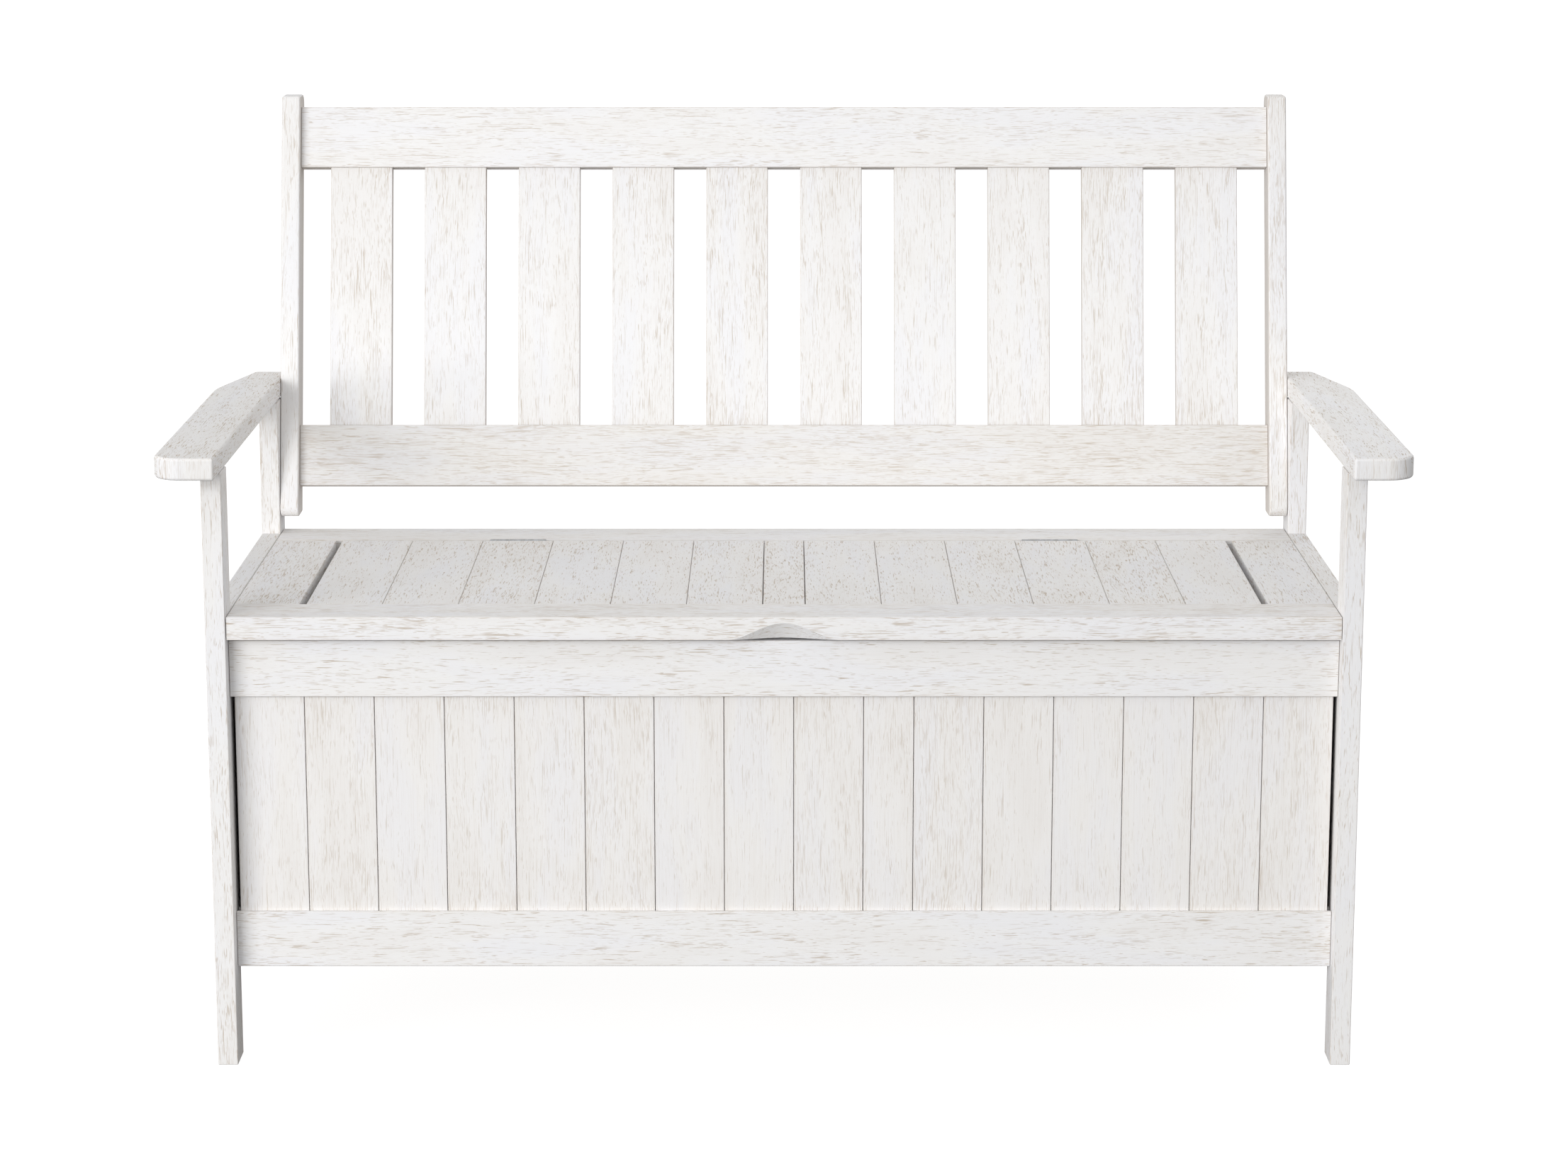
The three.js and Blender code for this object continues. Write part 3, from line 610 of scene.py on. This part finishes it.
def hinge_leaf(node, side, knuckles, body, axis, end_to_end, foot):
    """A leaf: its plate cut out with tabs, the tabs rolled around the pin, and its three screws."""
    face = axis.y + side * (ROLL_RADIUS - LEAF_THICK)
    shoulder = axis.z - ROLL_RADIUS - SHOULDER_DROP
    bm = bmesh.new()
    cuts = sorted({*end_to_end, *(x for knuckle in knuckles for x in knuckle)})
    rows = [[bm.verts.new((x, face, z)) for x in cuts] for z in (foot, shoulder, axis.z)]
    for below, above in zip(rows, rows[1:]):
        for i, (start, end) in enumerate(zip(cuts, cuts[1:])):
            rolled = any(a <= start and end <= b for a, b in knuckles)
            if above is not rows[2] or rolled:
                bm.faces.new((below[i], below[i + 1], above[i + 1], above[i]))
    bmesh.ops.delete(bm, geom=[v for v in bm.verts if not v.link_faces], context="VERTS")
    grown = bmesh.ops.extrude_face_region(bm, geom=bm.faces[:], use_keep_orig=True)["geom"]
    bmesh.ops.translate(bm, verts=of_kind(bmesh.types.BMVert, grown), vec=Y_AXIS * side * LEAF_THICK)
    corners = [e for e in bm.edges if all(v.co.z < foot + STEEL_EASE for v in e.verts)
               and abs(e.verts[0].co.y - e.verts[1].co.y) > LEAF_THICK / 2
               and any(abs(e.verts[0].co.x - x) < STEEL_EASE for x in end_to_end)]
    ease(bm, corners, LEAF_CORNER, CORNER_STEPS)
    tabs = [f for f in bm.faces if all(v.co.z > axis.z - STEEL_EASE for v in f.verts)]
    bmesh.ops.spin(
        bm, geom=tabs, cent=axis, axis=X_AXIS, dvec=(0, 0, 0), angle=side * ROLL_TURN, steps=ROLL_STEPS,
        use_merge=False, use_normal_flip=False, use_duplicate=False,
    )
    middle = (end_to_end[0] + end_to_end[1]) / 2
    for across in (-SCREW_SPREAD, 0, SCREW_SPREAD):
        x = middle + across * (end_to_end[1] - end_to_end[0])
        add_screw(bm, Vector((x, face, (foot + shoulder) / 2)), Vector((0, -side, 0)))
    return finish_steel(bm, f"{node}_plate", [node], body)


for side in ("left", "right"):
    pin_low, pin_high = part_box(f"hinge_pin_{side}")
    axis = (pin_low + pin_high) / 2
    lid_low, lid_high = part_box(f"hinge_lid_leaf_{side}")
    end_to_end = (lid_low.x, lid_high.x)
    third = (lid_high.x - lid_low.x) / 3
    inner = (axis.x - third / 2 + KNUCKLE_PLAY, axis.x + third / 2 - KNUCKLE_PLAY)
    outer = [(lid_low.x, inner[0] - 2 * KNUCKLE_PLAY), (inner[1] + 2 * KNUCKLE_PLAY, lid_high.x)]
    hinge_leaf(f"hinge_lid_leaf_{side}", -1, [inner], "lid", axis, end_to_end, lid_low.z)
    hinge_leaf(f"hinge_fixed_leaf_{side}", 1, outer, "frame", axis, end_to_end, lid_low.z)
    bm = bmesh.new()
    radius = (pin_high.z - pin_low.z) / 2
    lie = Matrix.Translation(axis) @ Matrix.Rotation(math.pi / 2, 4, "Y")
    bmesh.ops.create_cone(
        bm, cap_ends=True, segments=PIN_SIDES, radius1=radius, radius2=radius,
        depth=pin_high.x - pin_low.x, matrix=lie,
    )
    for cap in [f for f in bm.faces if abs(f.normal.x) > CAP_FACING]:
        bmesh.ops.inset_region(bm, faces=[cap], thickness=radius * PIN_DOME_SHARE, depth=PIN_DOME)
    finish_steel(bm, f"hinge_pin_{side}_rod", [f"hinge_pin_{side}"], "frame")

# Lid screws. Plated countersunk screws driven up through the two battens, one into each board of the
# lid and one into each end board, so that the lid lifts as one.
for place in ("front", "rear"):
    batten_low, batten_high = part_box(f"lid_batten_{place}")
    bm = bmesh.new()
    for node in lid_boards:
        board_low, board_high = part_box(node)
        x = (max(board_low.x, batten_low.x) + min(board_high.x, batten_high.x)) / 2
        y = (batten_low.y + batten_high.y) / 2
        add_screw(bm, Vector((x, y, batten_low.z)), -Z_AXIS)
    finish_steel(bm, f"lid_batten_{place}_screws", [], "lid")

# Back. Two leaning stiles fixed inside the rear posts, two rails between them, and slats tenoned
# into the rails. The lean is read from a slat's own edge.
SLAT_HEAD_REACH = 5 * MM
STILE_EASE = 2 * MM
# The bottom rail of the back takes a darker copy of the wash: painted shade, so that it reads darker
# than the top rail under the same light.
LOW_RAIL_SHADED_WASH = (0.80, 0.787, 0.77, 1)
slat_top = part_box("back_slat_1")[1].z
slat_verts = [v.co for v in frame["nodes"]["back_slat_1"].data.vertices]
slat_foot = min(slat_verts, key=lambda p: p.y)
slat_head = min((p for p in slat_verts if p.z > slat_top - SLAT_HEAD_REACH), key=lambda p: p.y)
UP_THE_BACK = Vector((0, slat_head.y - slat_foot.y, slat_head.z - slat_foot.z)).normalized()
back_wood = washed_wood("washed_back_wood", streaks=0.5, flecks=0.0, lines=0.05, fineness=1.3, sides=0.3)
low_rail_shaded_wood = washed_wood(
    "washed_low_rail_painted_shade", streaks=0.5, flecks=0.0, lines=0.07, fineness=1.3, sides=0.3,
    wash=LOW_RAIL_SHADED_WASH,
)
for side in ("left", "right"):
    board_from(f"back_stile_{side}", "frame", back_wood, UP_THE_BACK, X_AXIS, edge=STILE_EASE)
board_from("back_top_rail", "frame", back_wood, X_AXIS, UP_THE_BACK)
board_from("back_bottom_rail", "frame", low_rail_shaded_wood, X_AXIS, UP_THE_BACK)
for node in sorted(n for n in frame["nodes"] if n.startswith("back_slat_")):
    board_from(node, "frame", back_wood, UP_THE_BACK, X_AXIS)

# Studio. The bench stands on a pale floor in a white surround, lit by a big softbox at the front
# left and a weaker one behind. The camera stands square in front and looks slightly down.
FLOOR_REACH = 40
FLOOR_GREY = (0.2, 0.2, 0.2, 1)
FLOOR_GLOW = 0.93
SKY_FROM = -0.35
SKY_TO = 0.25
SKY_DIM = 0.24
SKY_BRIGHT = 0.68
WHITE = (1, 1, 1, 1)
SOFTBOX_WIDTH = 6
SOFTBOX_HEIGHT = 4
FRONT_WATTS = 490
FRONT_PLACE = (-4.9, -6.8, 2.0)
REAR_WATTS = 90
REAR_PLACE = (2.5, 6.5, 3.6)
CAMERA_LENS = 89.14
CAMERA_SENSOR = 36
CAMERA_PLACE = (0, -3.9796, 1.2692)
CAMERA_PITCH = math.radians(11.858)
floor_mesh = bpy.data.meshes.new("studio_floor")
floor_bm = bmesh.new()
bmesh.ops.create_grid(floor_bm, x_segments=1, y_segments=1, size=FLOOR_REACH)
floor_bm.to_mesh(floor_mesh)
floor_bm.free()
floor = bpy.data.objects.new("studio_floor", floor_mesh)
bpy.context.scene.collection.objects.link(floor)
floor_material = bpy.data.materials.new("pale_floor")
floor_material.use_nodes = True
floor_surface = floor_material.node_tree.nodes["Principled BSDF"]
floor_surface.inputs["Base Color"].default_value = FLOOR_GREY
floor_surface.inputs["Roughness"].default_value = 0.9
floor_surface.inputs["Specular IOR Level"].default_value = 0.0
floor_surface.inputs["Emission Color"].default_value = WHITE
floor_surface.inputs["Emission Strength"].default_value = FLOOR_GLOW
floor_mesh.materials.append(floor_material)
floor.visible_diffuse = False
floor.visible_glossy = False
floor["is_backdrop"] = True

surround = bpy.data.worlds.new("studio_surround")
bpy.context.scene.world = surround
surround.use_nodes = True
sky = FinishMixer(surround.node_tree)
sky_axes = surround.node_tree.nodes.new("ShaderNodeSeparateXYZ")
sky.set(sky_axes.inputs[0], surround.node_tree.nodes.new("ShaderNodeTexCoord").outputs["Generated"])
sky_level = sky.ramp(sky_axes.outputs["Z"], SKY_FROM, SKY_TO, SKY_DIM, SKY_BRIGHT)
seen = surround.node_tree.nodes.new("ShaderNodeLightPath").outputs["Is Camera Ray"]
sky_level = sky.math("MAXIMUM", sky_level, seen)
surround.node_tree.nodes["Background"].inputs["Color"].default_value = WHITE
sky.set(surround.node_tree.nodes["Background"].inputs["Strength"], sky_level)

bench_middle = (cad_low + cad_high) / 2
for name, watts, place in (
    ("front_softbox", FRONT_WATTS, FRONT_PLACE), ("rear_softbox", REAR_WATTS, REAR_PLACE),
):
    light = bpy.data.lights.new(name, "AREA")
    light.shape = "RECTANGLE"
    light.size = SOFTBOX_WIDTH
    light.size_y = SOFTBOX_HEIGHT
    light.energy = watts
    lamp = bpy.data.objects.new(name, light)
    bpy.context.scene.collection.objects.link(lamp)
    lamp.location = place
    lamp.rotation_euler = (bench_middle - lamp.location).to_track_quat("-Z", "Y").to_euler()
    lamp.visible_camera = False

camera_data = bpy.data.cameras.new("camera")
camera_data.lens = CAMERA_LENS
camera_data.sensor_width = CAMERA_SENSOR
camera = bpy.data.objects.new("camera", camera_data)
bpy.context.scene.collection.objects.link(camera)
camera.location = CAMERA_PLACE
camera.rotation_euler = (math.pi / 2 - CAMERA_PITCH, 0, 0)
bpy.context.scene.camera = camera
bpy.context.scene.view_settings.view_transform = "Standard"

low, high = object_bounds()
